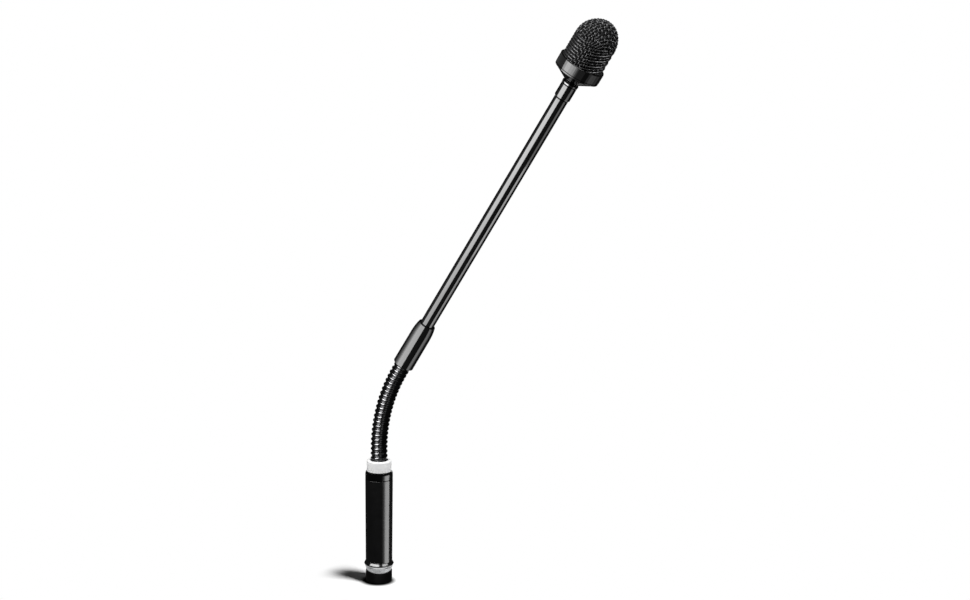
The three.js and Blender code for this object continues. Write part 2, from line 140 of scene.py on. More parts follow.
SLEEVE_BASE = 160.4
SLEEVE_TAPER = 184.5      # where the taper starts
SLEEVE_TOP = 195.1
SLEEVE_RADIUS = 7.18      # at the start of the taper
SLEEVE_FOOT = 7.35        # at the lower end
SLEEVE_NARROWING = 1.15   # how much the taper takes off
SLEEVE_CURVE = 2.2        # its exponent: 1 would be a straight cone
SLEEVE_BORE = 5.9
SLEEVE_MOUTH = 5.62       # radius of the top edge
TUBE_RADIUS = 4.9
TUBE_FOOT = 177.3
BOOM_BORE = 4.1
STEM_RADIUS = 5.55
STEM_BASE = 380.8
STEM_TOP = 390.4
STEM_GAP = 0.7            # dark lines below and above the stem
SPIGOT_RADIUS = 3.8       # ends of the stem, inside the tube and the cone
SPIGOT_DOWN = 9           # how far they reach
SPIGOT_UP = 6
LEAD_BORE = 2.4

CONE_BASE = 392.6
CONE_FOOT = 5.2
CONE_SPIGOT = 13.6        # the part inside the collar
COLLAR_BASE = 399.5
COLLAR_TOP = 407.9
COLLAR_RADIUS = 15.75
COLLAR_FOOT = COLLAR_RADIUS - 0.15
COLLAR_BORE = 13.9
RIM_RADIUS = COLLAR_RADIUS - 0.9    # rim of the cone, and bottom of the collar's groove
GROOVE_BASE = COLLAR_BASE + 1.25
GROOVE_TOP = GROOVE_BASE + 0.5

GRILLE_RADIUS = 14.25
GRILLE_FOOT = 405.4
GRILLE_SHOULDER = 424.8
GRILLE_TOP = 439.8
DOME_POWER = 1.92         # exponent of the dome's outline: 2 would be an ellipse
DOME_LEAN = 0.9           # sideways shift of the dome's crown
WIRE_SIDES = 6
CROWN_PITCH = 2.35        # spacing of the wires of the crown
CROWN_WIRE = 0.46         # radius of one wire of the crown
CROWN_FOOT = 424.2        # the crown's wires reach down to here
CROWN_COUNT = 16          # wires counted from the middle one outwards
CROWN_STEPS = 4           # points of a wire from one crossing to the next
WALL_PITCH = 2.05         # spacing of the wires that run round the wall of the dome
WALL_ROWS = range(-4, 11)
WALL_COLUMNS = 48         # wires that run up the wall
WALL_WIRE = 0.4
WALL_STEPS = 3            # points of a wire from one crossing to the next
WALL_TOP = 425.2
WALL_CLIMB = 6.2          # how much higher the wires round the wall lie on the camera's right
WALL_CLIMB_BACK = 3.4     # and behind
FOLD = -5                 # the ribs fade out near this direction, in degrees from the camera's side
FOLD_HALF = 12            # no ribs within this many degrees of it,
FOLD_FADE = 18            # and full ribs this much further on
RIB_GAIN = 0.6            # how much thicker a wire is where it stands out as a rib
RIB_CRIMP = 0.9           # how much less it waves there
RIB_LIFT = 0.9            # how much further out it lies there
RIB_FAINT = 0.2           # every other wire on the right is this much of a rib
UPRIGHT_THIN = 0.25       # how much thinner the wires that run up are behind the ribs
UPRIGHT_SINK = 0.6        # and how much further in they lie
FOAM_OUTSIDE = 2.2        # how far below the dome the foam's two surfaces lie
FOAM_INSIDE = 4.0
FOAM_COLUMNS = 64

# ---- Camera ----

CAMERA_SIDE = 23.6        # direction of the camera, in degrees from -Y towards +X
CAMERA_AZIMUTH = math.radians(CAMERA_SIDE)
CAMERA_ELEVATION = math.radians(11.97)
CAMERA_ROLL = math.radians(0.6)
CAMERA_DISTANCE = 1600.0
CAMERA_ACROSS = 72.0      # how far the view's centre is to the right of the plug
CAMERA_HEIGHT = 200.5     # and above it
CAMERA_LENS = 87.18
SENSOR_WIDTH = 36


def camera_axes():
    """The level direction to the camera's right, and the camera's right, up and forward directions."""
    right = Vector((math.cos(CAMERA_AZIMUTH), math.sin(CAMERA_AZIMUTH), 0))
    forward = Vector((
        -math.sin(CAMERA_AZIMUTH) * math.cos(CAMERA_ELEVATION),
        math.cos(CAMERA_AZIMUTH) * math.cos(CAMERA_ELEVATION),
        -math.sin(CAMERA_ELEVATION),
    ))
    up = right.cross(forward)
    rolled_right = right * math.cos(CAMERA_ROLL) + up * math.sin(CAMERA_ROLL)
    rolled_up = up * math.cos(CAMERA_ROLL) - right * math.sin(CAMERA_ROLL)
    return right, rolled_right, rolled_up, forward


def make_camera():
    level_right, right, up, forward = camera_axes()
    target = level_right * CAMERA_ACROSS + Vector((0, 0, CAMERA_HEIGHT))
    place = (target - forward * CAMERA_DISTANCE) * MM
    data = bpy.data.cameras.new("camera")
    data.lens = CAMERA_LENS
    data.sensor_width = SENSOR_WIDTH
    camera = bpy.data.objects.new("camera", data)
    camera.matrix_world = Matrix.Translation(place) @ Matrix((right, up, -forward)).transposed().to_4x4()
    bpy.context.scene.collection.objects.link(camera)
    bpy.context.scene.camera = camera


# ---- The centreline ----


def on_centreline(distance):
    """The point (x, z) at a distance along the centreline, and the lean from vertical there."""
    if distance <= BEND_BASE:
        return 0.0, distance, 0.0
    radius = BEND_LENGTH / BEND_ANGLE
    along = min(distance - BEND_BASE, BEND_LENGTH)
    lean = along / radius
    beyond = distance - BEND_BASE - along
    x = radius * (1 - math.cos(lean)) + beyond * math.sin(lean)
    z = BEND_BASE + radius * math.sin(lean) + beyond * math.cos(lean)
    return x, z, lean


def pivot_distance(index):
    """Where along the centreline the hinge between two bodies of the neck is."""
    return FIRST_PIVOT + index * LINK_LENGTH


def boom_place():
    """Turns boom heights, which are distances along the centreline, into the row frame."""
    start = BEND_BASE + BEND_LENGTH
    x, z, lean = on_centreline(start)
    turn = Matrix.Rotation(lean, 4, "Y")
    return Matrix.Translation((x, 0, z)) @ turn @ Matrix.Translation((0, 0, -start))


# ---- Mesh building ----


def make_mesh(name, points, faces, material, place=None, sharp=SHARP_ANGLE):
    """A smooth-shaded mesh object from points; edges sharper than `sharp` degrees stay crisp."""
    coordinates = np.asarray(points, float)
    if place is not None:
        turn = np.array(place, float)
        coordinates = coordinates @ turn[:3, :3].T + turn[:3, 3]
    mesh = bpy.data.meshes.new(name)
    mesh.from_pydata((coordinates * MM).tolist(), [], faces)
    mesh.validate()
    mesh.shade_smooth()
    mesh.set_sharp_from_angle(angle=math.radians(sharp))
    mesh.materials.append(material)
    piece = bpy.data.objects.new(name, mesh)
    bpy.context.scene.collection.objects.link(piece)
    return piece


def unit(vector):
    return vector / max(np.linalg.norm(vector), 1e-6)


def band(low, high, columns):
    """Faces between two rings of points, each given by the number of its first point."""
    pairs = [(column, (column + 1) % columns) for column in range(columns)]
    return [(low + here, low + after, high + after, high + here) for here, after in pairs]


def arc(height, radius, start, end, steps=8):
    """Outline points of an arc centred on the axis; angles in degrees from the outward direction."""
    angles = np.radians(np.linspace(start, end, steps + 1))
    return [(radius * math.cos(a), height + radius * math.sin(a)) for a in angles]


def fillet(corners, steps=4, default=0.15):
    """Rounds the corners of a closed outline. A corner is (radius, height) or (radius, height, fillet)."""
    rounded = []
    count = len(corners)
    for i, corner in enumerate(corners):
        here = np.array(corner[:2], float)
        size = corner[2] if len(corner) > 2 else default
        before = np.array(corners[i - 1][:2], float) - here
        after = np.array(corners[(i + 1) % count][:2], float) - here
        cut = min(size, 0.45 * np.linalg.norm(before), 0.45 * np.linalg.norm(after))
        if cut < 1e-4:
            rounded.append(tuple(here))
            continue
        first = here + unit(before) * cut
        last = here + unit(after) * cut
        for t in np.linspace(0, 1, steps + 1):
            point = (1 - t) ** 2 * first + 2 * t * (1 - t) * here + t ** 2 * last
            rounded.append(tuple(point))
    return rounded


def turned(name, outline, material, place=None, columns=ROUND, wave=None):
    """A solid of revolution about Z. A closed outline makes a ring; one that starts and ends on the
    axis makes a solid. `wave(x, y, z)` is the height to add to a point."""
    rows = len(outline)
    points = []
    starts = []
    for radius, height in outline:
        starts.append(len(points))
        if radius < 1e-6:
            points.append((0.0, 0.0, height))
            continue
        for column in range(columns):
            angle = 2 * math.pi * column / columns
            points.append((radius * math.cos(angle), radius * math.sin(angle), height))
    faces = []
    for row in range(rows):
        low, high = starts[row], starts[(row + 1) % rows]
        low_axis = outline[row][0] < 1e-6
        high_axis = outline[(row + 1) % rows][0] < 1e-6
        quads = band(low, high, columns)
        if low_axis and not high_axis:
            faces.extend((low, c, d) for _, _, c, d in quads)
        elif high_axis and not low_axis:
            faces.extend((a, b, high) for a, b, _, _ in quads)
        elif not low_axis:
            faces.extend(quads)
    if wave is not None:
        points = [(x, y, z + wave(x, y, z)) for x, y, z in points]
    return make_mesh(name, points, faces, material, place)


def cut_box(piece, size, centre, turn=0.0):
    """Cuts a box out of a piece; the turn is in degrees about Z."""
    half = Vector(size) / 2
    corners = [(x, y, z) for x in (-1, 1) for y in (-1, 1) for z in (-1, 1)]
    points = [(x * half.x, y * half.y, z * half.z) for x, y, z in corners]
    faces = [(0, 1, 3, 2), (4, 6, 7, 5), (0, 4, 5, 1), (2, 3, 7, 6), (0, 2, 6, 4), (1, 5, 7, 3)]
    place = Matrix.Rotation(math.radians(turn), 4, "Z") @ Matrix.Translation(centre)
    cutter = make_mesh("cutter", points, faces, piece.data.materials[0], place)
    modifier = piece.modifiers.new("cut", "BOOLEAN")
    modifier.object = cutter
    modifier.operation = "DIFFERENCE"
    modifier.solver = "EXACT"
    graph = bpy.context.evaluated_depsgraph_get()
    mesh = bpy.data.meshes.new_from_object(piece.evaluated_get(graph))
    piece.modifiers.clear()
    piece.data = mesh
    mesh.set_sharp_from_angle(angle=math.radians(SHARP_ANGLE))
    bpy.data.objects.remove(cutter)


def register(piece, body, node):
    """Puts a piece on the body it rides on, and hides the CAD node it replaces."""
    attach(piece, body)
    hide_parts(node)


# ---- Materials ----


def set_inputs(node, **values):
    """Sets a node's inputs; an underscore stands for a space in an input's name."""
    for name, value in values.items():
        node.inputs[name.replace("_", " ")].default_value = value


class Recipe:
    """A Principled material whose colour, roughness and surface vary by procedural noise."""

    def __init__(self, name, colour, roughness, metallic=0.0, ior=1.5):
        self.material = bpy.data.materials.new(name)
        self.material.use_nodes = True
        self.tree = self.material.node_tree
        self.shader = self.tree.nodes["Principled BSDF"]
        set_inputs(self.shader, Base_Color=(*colour, 1), Roughness=roughness, Metallic=metallic, IOR=ior)
        self.place = self.node("ShaderNodeTexCoord").outputs["Object"]
        self.height = None

    def node(self, kind, **inputs):
        made = self.tree.nodes.new(kind)
        set_inputs(made, **inputs)
        return made

    def link(self, output, target):
        self.tree.links.new(output, target)

    def noise(self, scale, detail, stretch):
        """Noise over the piece, about `scale` features per metre; `stretch` draws it out along an axis."""
        made = self.node("ShaderNodeTexNoise", Scale=scale, Detail=detail)
        place = self.place
        if stretch is not None:
            mapping = self.node("ShaderNodeMapping", Scale=stretch)
            self.link(place, mapping.inputs["Vector"])
            place = mapping.outputs["Vector"]
        self.link(place, made.inputs["Vector"])
        return made.outputs["Fac"]

    def mottle(self, dark, light, scale, detail=3.0, stretch=None):
        """The base colour drifts between two shades."""
        ramp = self.node("ShaderNodeValToRGB")
        for element, position, colour in zip(ramp.color_ramp.elements, (0.35, 0.65), (dark, light)):
            element.position = position
            element.color = (*colour, 1)
        self.link(self.noise(scale, detail, stretch), ramp.inputs["Fac"])
        self.link(ramp.outputs["Color"], self.shader.inputs["Base Color"])
        return self

    def wear(self, low, high, scale, detail=4.0, stretch=None):
        """The roughness drifts between two values."""
        spread = self.node("ShaderNodeMapRange", From_Min=0.3, From_Max=0.7, To_Min=low, To_Max=high)
        self.link(self.noise(scale, detail, stretch), spread.inputs["Value"])
        self.link(spread.outputs["Result"], self.shader.inputs["Roughness"])
        return self

    def grain(self, depth, scale, detail=3.0, stretch=None):
        """Adds a bump of that depth in millimetres."""
        bump = self.node("ShaderNodeBump", Distance=depth * MM, Strength=1.0)
        self.link(self.noise(scale, detail, stretch), bump.inputs["Height"])
        if self.height is not None:
            self.link(self.height, bump.inputs["Normal"])
        self.height = bump.outputs["Normal"]
        self.link(self.height, self.shader.inputs["Normal"])
        return self


def grey(value):
    return (value, value, value * 1.02)


def shade(colour, share):
    return tuple(min(1, c * share) for c in colour)


def gloss_paint():
    made = Recipe("gloss_black_lacquer", grey(0.0025), 0.08, ior=1.75)
    made.mottle(grey(0.002), grey(0.003), 90)
    made.wear(0.06, 0.1, 160)
    return made.grain(0.004, 700, 1.0).material


def satin_paint():
    made = Recipe("satin_black_paint", grey(0.002), 0.17, ior=1.6)
    made.mottle(grey(0.0016), grey(0.0024), 120)
    made.wear(0.15, 0.2, 220)
    return made.grain(0.006, 4200, 2.0).material


def plug_paint():
    made = Recipe("matt_black_plug", grey(0.008), 0.5, ior=1.5)
    made.mottle(grey(0.006), grey(0.011), 300)
    made.wear(0.42, 0.6, 300)
    return made.grain(0.01, 3500, 3.0).material


def blackened_steel():
    made = Recipe("blackened_steel", grey(0.05), 0.22, metallic=1.0)
    made.mottle(grey(0.04), grey(0.065), 260)
    made.wear(0.17, 0.27, 420)
    return made.grain(0.004, 2600, 2.0).material


def bright_steel():
    made = Recipe("turned_bright_steel", (0.78, 0.79, 0.8), 0.3, metallic=1.0)
    made.mottle((0.7, 0.71, 0.72), (0.86, 0.87, 0.88), 500, stretch=(1, 1, 12))
    made.wear(0.22, 0.4, 600, stretch=(1, 1, 20))
    return made.grain(0.006, 900, 2.0, stretch=(1, 1, 18)).material


def light_plastic():
    made = Recipe("frosted_white_ring", (0.86, 0.86, 0.86), 0.38)
    set_inputs(made.shader, Subsurface_Weight=0.35, Subsurface_Radius=(0.004, 0.004, 0.0038))
    made.mottle((0.83, 0.83, 0.83), (0.88, 0.88, 0.88), 180)
    made.wear(0.32, 0.45, 300)
    return made.grain(0.004, 2500, 2.0).material


def grille_wire():
    made = Recipe("black_woven_wire", grey(0.055), 0.34, metallic=0.7)
    made.mottle(grey(0.04), grey(0.075), 700)
    made.wear(0.26, 0.44, 900)
    return made.grain(0.006, 5000, 2.0).material


def foam():
    made = Recipe("open_cell_foam", grey(0.006), 0.95)
    made.mottle(grey(0.003), grey(0.012), 1400, 4.0)
    return made.grain(0.25, 1500, 4.0).material


def moulded(name, colour, roughness):
    made = Recipe(name, colour, roughness)
    made.mottle(shade(colour, 0.85), shade(colour, 1.15), 400)
    made.wear(roughness * 0.85, min(1, roughness * 1.2), 500)
    return made.grain(0.01, 2800, 3.0).material


def plated(name, colour, roughness):
    made = Recipe(name, colour, roughness, metallic=1.0)
    made.mottle(shade(colour, 0.88), colour, 500)
    made.wear(roughness * 0.8, roughness * 1.4, 700)
    return made.grain(0.003, 3000, 2.0).material


# ---- Plug ----


def lobed_edge(x, y, z):
    """Height added to the edge between plug and ring: lowest along LOBE_TURN and opposite it."""
    rising = min(1.0, max(0.0, (z - LOBE_FOOT) / (PLUG_SKIRT - LOBE_FOOT)))
    fading = min(1.0, max(0.0, (LOBE_TOP - z) / (LOBE_TOP - RING_BASE)))
    side = math.sin(math.atan2(y, x) - math.radians(LOBE_TURN))
    return (LOBE_FRONT + LOBE_RISE * side ** 2) * rising * fading


def build_plug(looks):
    shell = turned("plug_shell", fillet([
        (PLUG_RADIUS, 0, 0.35),
        (PLUG_RADIUS, PLUG_SKIRT, 0.12),
        (PLUG_NECK, PLUG_SKIRT, 0.05),
        (PLUG_NECK, PLUG_TOP),
        (PLUG_BORE, PLUG_TOP),
        (PLUG_BORE, 0, 0.3),
    ]), looks["plug"], wave=lobed_edge)
    cut_box(shell, LATCH_SIZE, (0, PLUG_RADIUS, LATCH_HEIGHT))
    register(shell, "base", "xlr_shell")

    insert = turned("plug_insulator_disc", fillet([
        (PLUG_BORE - GAP, INSERT_BASE, 0.3),
        (PLUG_BORE - GAP, INSERT_TOP),
        (INSERT_HOLE, INSERT_TOP, 0),
        (INSERT_HOLE, INSERT_BASE, 0),
        *((r, INSERT_BASE + d, 0.1) for r, d in zip(INSERT_GROOVE, (0, INSERT_DEPTH, INSERT_DEPTH, 0))),
    ]), looks["insulator"])
    register(insert, "base", "xlr_insert")

    for index, degrees in enumerate(PIN_TURNS):
        angle = math.radians(degrees)
        place = Matrix.Translation((PIN_CIRCLE * math.cos(angle), PIN_CIRCLE * math.sin(angle), 0))
        pin = turned(f"contact_pin_{index + 1}", [
            (0, PIN_TIP),
            *arc(PIN_TIP + PIN_RADIUS, PIN_RADIUS, -80, 0),
            (PIN_RADIUS, PIN_TAIL - 0.2),
            (PIN_RADIUS - 0.2, PIN_TAIL),
            (0, PIN_TAIL),
        ], looks["pin"], place, PIN_COLUMNS)
        register(pin, "base", f"xlr_pin_{index + 1}")


def build_thread_ring(looks):
    bore = PLUG_NECK + 0.1
    corners = [(RING_FOOT, RING_BASE, 0.05), (RING_WAIST, RING_BASE + 0.5, 0.05)]
    for radius, rise in RING_STEPS:
        height = RING_BASE + rise
        corners += [(radius + 0.06, height - 0.2, 0.08), (radius - RING_GROOVE, height, 0.05)]
        corners += [(radius + 0.2, height + 0.22, 0.08)]
    corners += [(RING_RIM, RING_TOP - 0.35, 0.1), (RING_RIM, RING_TOP, 0.1)]
    corners += [(bore, RING_TOP), (bore, RING_BASE)]
    ring = turned("bright_thread_ring", fillet(corners, 3, 0.1), looks["silver"], wave=lobed_edge)
    cut_box(ring, NOTCH_SIZE, (0, -NOTCH_RADIUS, RING_BASE), NOTCH_TURN)
    register(ring, "base", "thread_ring")


# ---- Housing and light ring ----


def build_housing(looks):
    housing = turned("housing_tube", fillet([
        (LIP_RADIUS - 0.35, HOUSING_BASE, 0.1),
        (LIP_RADIUS, HOUSING_BASE + 0.35, 0.2),
        (HOUSING_FOOT + 0.28, LIP_TOP - 0.75, 0.15),
        (HOUSING_FOOT, LIP_TOP - 0.45, 0.15),
        (HOUSING_RADIUS, CAP_BASE - GAP, 0.18),
        (HOUSING_BORE, CAP_BASE - GAP),
        (HOUSING_BORE, HOUSING_BASE),
    ], 5), looks["satin"])
    register(housing, "base", "base_housing")

    spigot = HOUSING_BORE - GAP
    seat = CAP_TOP - CAP_RECESS
    cap = turned("housing_cap", fillet([
        (spigot, CAP_BASE - CAP_SPIGOT),
        (spigot, CAP_BASE, 0.05),
        (HOUSING_RADIUS, CAP_BASE, 0.18),
        (HOUSING_RADIUS - 0.02, CAP_TOP - 1.2, 0.8),
        (HOUSING_RADIUS - 0.5, CAP_TOP, 0.45),
        (LIGHT_RADIUS - 0.15, CAP_TOP, 0.1),
        (LIGHT_RADIUS - 0.15, seat),
        (NECK_OPENING, seat),
        (NECK_OPENING, CAP_BASE - CAP_SPIGOT),
    ], 5), looks["satin"])
    register(cap, "base", "housing_top_cap")

    ring = turned("light_ring_diffuser", fillet([
        (LIGHT_RADIUS, CAP_TOP + GAP, 0.1),
        (LIGHT_RADIUS, LIGHT_TOP, 1.5),
        (RIDGE_RADIUS + GAP, LIGHT_TOP, 0.35),
        (RIDGE_RADIUS + GAP, LIGHT_TOP - 1.5),
        (NECK_OPENING, LIGHT_TOP - 2),
        (NECK_OPENING, CAP_TOP + GAP),
    ], 8), looks["light"])
    register(ring, "base", "light_ring")


# ---- Gooseneck ----


def neck_radius(distance, angle):
    """Outer radius of the two interlocked windings: a round wire, and a flat band between its turns."""
    phase = ((distance - RIDGE_PHASE) / RIDGE_PITCH - angle / (2 * math.pi)) % 1.0
    offset = np.abs(phase - 0.5) / RIDGE_HALF
    wire = np.sqrt(np.clip(1 - offset ** 2, 0, 1))
    return ROOT_RADIUS + (RIDGE_RADIUS - ROOT_RADIUS) * wire


def neck_section(name, start, end, material):
    """A closed length of the neck, from one distance to another along the centreline."""
    rows = round((end - start) / NECK_STEP) + 1
    angles = 2 * math.pi * np.arange(NECK_COLUMNS) / NECK_COLUMNS
    points = []
    for distance in np.linspace(start, end, rows):
        points.extend(neck_ring(distance, neck_radius(distance, angles), angles))
    bore_rows = round((end - start) / (4 * NECK_STEP)) + 1
    for distance in np.linspace(end, start, bore_rows):
        points.extend(neck_ring(distance, np.full(NECK_COLUMNS, NECK_BORE), angles))
    total = rows + bore_rows
    faces = []
    for row in range(total):
        faces.extend(band(row * NECK_COLUMNS, (row + 1) % total * NECK_COLUMNS, NECK_COLUMNS))
    return make_mesh(name, points, faces, material, sharp=50)


def neck_ring(distance, radii, angles):
    """One ring of points square to the centreline."""
    x, z, lean = on_centreline(distance)
    out = radii * np.cos(angles)
    return np.stack([
        x + out * math.cos(lean),
        radii * np.sin(angles),
        z - out * math.sin(lean),
    ], axis=1).tolist()


def build_neck(looks):
    half = LINK_LENGTH / 2
    root = neck_section("neck_coil_root", LIGHT_TOP - 4, FIRST_PIVOT - half, looks["neck"])
    register(root, "base", "neck_root")

    for index in range(LINK_COUNT + 1):
        low, high = pivot_distance(index) - half, pivot_distance(index) + half
        section = neck_section(f"neck_coil_{index + 1:02d}", low, high, looks["neck"])
        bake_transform(section)
        if index < LINK_COUNT:
            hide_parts(f"neck_link_{index + 1:02d}")

    tip = neck_section("neck_coil_tip", pivot_distance(LINK_COUNT) + half, NECK_END, looks["neck"])
    register(tip, "boom", "neck_tip")


# ---- Boom ----


def build_boom(looks):
    place = boom_place()
    taper = []
    for share in np.linspace(0, 1, 14):
        radius = SLEEVE_RADIUS - SLEEVE_NARROWING * share ** SLEEVE_CURVE
        taper.append((radius, SLEEVE_TAPER + (SLEEVE_TOP - 0.5 - SLEEVE_TAPER) * share, 0.05))
    sleeve = turned("sleeve_body", fillet([
        (SLEEVE_FOOT, SLEEVE_BASE, 0.25),
        *taper,
        (SLEEVE_MOUTH, SLEEVE_TOP, 0.25),
        (TUBE_RADIUS + 0.12, SLEEVE_TOP, 0.15),
        (TUBE_RADIUS + 0.12, TUBE_FOOT - GAP),
        (SLEEVE_BORE, TUBE_FOOT - GAP),
        (SLEEVE_BORE, SLEEVE_BASE, 0.15),
    ]), looks["gloss"], place)
    register(sleeve, "boom", "coupling_sleeve")

    tube = turned("tube_body", fillet([
        (TUBE_RADIUS, TUBE_FOOT),
        (TUBE_RADIUS, STEM_BASE - STEM_GAP, 0.1),
        (BOOM_BORE, STEM_BASE - STEM_GAP),
        (BOOM_BORE, TUBE_FOOT),
    ]), looks["gloss"], place)
    register(tube, "boom", "boom_tube")

    stem = turned("stem_body", fillet([
        (SPIGOT_RADIUS, STEM_BASE - SPIGOT_DOWN),
        (SPIGOT_RADIUS, STEM_BASE, 0.05),
        (STEM_RADIUS, STEM_BASE, 0.5),
        (STEM_RADIUS, STEM_TOP, 0.15),
        (SPIGOT_RADIUS, STEM_TOP, 0.05),
        (SPIGOT_RADIUS, STEM_TOP + SPIGOT_UP),
        (LEAD_BORE, STEM_TOP + SPIGOT_UP),
        (LEAD_BORE, STEM_BASE - SPIGOT_DOWN),
    ], 6), looks["gloss"], place)
    register(stem, "boom", "head_stem")

    ring = turned("stem_ring", fillet([
        (STEM_RADIUS + 0.2, STEM_TOP + STEM_GAP, 0.15),
        (STEM_RADIUS + 0.2, CONE_BASE - GAP, 0.3),
        (BOOM_BORE, CONE_BASE - GAP),
        (BOOM_BORE, STEM_TOP + STEM_GAP),
    ], 5), looks["gloss"], place)
    register(ring, "boom", "stem_shoulder_ring")


# ---- Head ----


def build_head(looks):
    place = boom_place()
    cone = turned("head_underside", fillet([
        (CONE_FOOT, CONE_BASE, 0.15),
        (CONE_FOOT + 0.5, CONE_BASE + 1.0, 0.5),
        (RIM_RADIUS, COLLAR_BASE, 0.3),
        (CONE_SPIGOT, COLLAR_BASE + 0.6),
        (CONE_SPIGOT, COLLAR_BASE + 2.2),
        (BOOM_BORE, COLLAR_BASE + 2.2),
        (BOOM_BORE, CONE_BASE),
    ], 5), looks["satin"], place)
    register(cone, "boom", "head_cone")

    seat = COLLAR_TOP - 3
    collar = turned("head_collar_ring", fillet([
        (COLLAR_FOOT, COLLAR_BASE + GAP, 0.1),
        (COLLAR_FOOT, GROOVE_BASE, 0.02),
        (RIM_RADIUS, GROOVE_BASE, 0.02),
        (RIM_RADIUS, GROOVE_TOP, 0.02),
        (COLLAR_RADIUS, GROOVE_TOP, 0.02),
        (COLLAR_RADIUS, COLLAR_TOP, 0.7),
        (GRILLE_RADIUS + 0.15, COLLAR_TOP, 0.3),
        (GRILLE_RADIUS + 0.15, seat),
        (COLLAR_BORE, seat),
        (COLLAR_BORE, COLLAR_BASE + 0.9),
        (RIM_RADIUS + 0.15, COLLAR_BASE + GAP, 0.05),
    ], 6, 0.12), looks["gloss"], place)
    register(collar, "boom", "head_collar")


class Dome:
    """The middle surface of the wire dome: a cylinder below, close to half an ellipsoid above."""

    def __init__(self, inset):
        self.radius = GRILLE_RADIUS - inset
        self.rise = GRILLE_TOP - GRILLE_SHOULDER - inset

    def outside(self, point):
        """Positive outside the surface, negative inside."""
        across = math.hypot(point[0], point[1]) / self.radius
        up = max(0.0, point[2] - GRILLE_SHOULDER) / self.rise
        return across ** DOME_POWER + up ** DOME_POWER - 1

    def normal(self, point):
        across = math.hypot(point[0], point[1])
        up = max(0.0, point[2] - GRILLE_SHOULDER)
        power = DOME_POWER - 1
        slope_out = (across / self.radius) ** power / self.radius
        slope_up = (up / self.rise) ** power / self.rise
        flat = np.array([point[0], point[1], 0.0]) / max(across, 1e-9)
        vector = flat * slope_out + np.array([0, 0, slope_up])
        return vector / np.linalg.norm(vector)

    def at(self, turn, height):
        """The point on the surface in a direction, in degrees, at a height."""
        angle = math.radians(turn)
        high = max(0.0, height - GRILLE_SHOULDER) / self.rise
        radius = self.radius * (1 - high ** DOME_POWER) ** (1 / DOME_POWER)
        return np.array([radius * math.cos(angle), radius * math.sin(angle), height])

    def swing(self, origin, ahead, normal, reach):
        """The point on the surface that is `reach` from the origin, in the plane of ahead and normal."""
        low, high = -math.radians(85), math.radians(85)
        for _ in range(40):
            middle = (low + high) / 2
            point = origin + reach * (math.cos(middle) * ahead + math.sin(middle) * normal)
            if self.outside(point) > 0:
                high = middle
            else:
                low = middle
        return point


def main_wires(dome):
    """Where the crossings lie along the two wires that meet at the top of the dome."""
    nodes = {(0, 0): np.array([0.0, 0.0, GRILLE_SHOULDER + dome.rise])}
    for i in range(1, CROWN_COUNT):
        for key, before, flat in (((i, 0), (i - 1, 0), (1, 0, 0)), ((0, i), (0, i - 1), (0, 1, 0))):
            origin = nodes[before]
            normal = dome.normal(origin)
            down = np.array(flat, float) - normal * np.dot(flat, normal)
            if np.linalg.norm(down) < 0.2:    # the surface is nearly upright
                down = np.array([0, 0, -1.0])
            nodes[key] = dome.swing(origin, unit(down), normal, CROWN_PITCH)
    return nodes


def weave_nodes(dome):
    """Where the wires cross in one quarter of the dome. Every cell keeps its four equal sides, as in a
    sheet of wire cloth pressed over a form: square along the two main wires, sheared between them."""
    nodes = main_wires(dome)
    for i in range(1, CROWN_COUNT):
        for j in range(1, CROWN_COUNT):
            left, right, behind = nodes[(i - 1, j)], nodes[(i, j - 1)], nodes[(i - 1, j - 1)]
            middle = (left + right) / 2
            half_gap = np.linalg.norm(left - right) / 2
            reach = math.sqrt(max(CROWN_PITCH ** 2 - half_gap ** 2, 0.01))
            across = (right - left) / max(2 * half_gap, 1e-6)
            ahead = middle - behind
            ahead = unit(ahead - across * np.dot(ahead, across))
            normal = np.cross(across, ahead)
            if np.dot(normal, dome.normal(middle)) < 0:
                normal = -normal
            nodes[(i, j)] = dome.swing(middle, ahead, normal, reach)
    return nodes


def smooth_path(knots, per_span):
    """Points of a Catmull-Rom curve through the knots."""
    padded = [2 * knots[0] - knots[1], *knots, 2 * knots[-1] - knots[-2]]
    points = []
    for i in range(1, len(padded) - 2):
        a, b, c, d = padded[i - 1:i + 3]
        for step in range(per_span):
            t = step / per_span
            points.append(0.5 * (
                2 * b + (c - a) * t + (2 * a - 5 * b + 4 * c - d) * t ** 2
                + (3 * b - a - 3 * c + d) * t ** 3
            ))
    points.append(knots[-1])
    return points


def add_wire(path, radii, points, faces):
    """Adds a round wire with closed ends along a path of points, with a radius for each point."""
    path = np.array(path)
    tangents = np.gradient(path, axis=0)
    tangents /= np.maximum(np.linalg.norm(tangents, axis=1)[:, None], 1e-6)
    side = unit(np.cross(tangents[0], [0.3, 0.5, 0.8]))
    base = len(points)
    angles = 2 * math.pi * np.arange(WIRE_SIDES) / WIRE_SIDES
    for place, tangent, radius in zip(path, tangents, radii):
        side = unit(side - tangent * np.dot(side, tangent))
        other = np.cross(tangent, side)
        ring = place + radius * (np.outer(np.cos(angles), side) + np.outer(np.sin(angles), other))
        points.extend(ring.tolist())
    for row in range(len(path) - 1):
        low = base + row * WIRE_SIDES
        faces.extend(band(low, low + WIRE_SIDES, WIRE_SIDES))
    faces.append(tuple(reversed(range(base, base + WIRE_SIDES))))
    faces.append(tuple(range(len(points) - WIRE_SIDES, len(points))))


def over_or_under(number):
    """1 where a wire passes over a crossing, -1 where it passes under: they take turns."""
    return 1 if number % 2 == 0 else -1


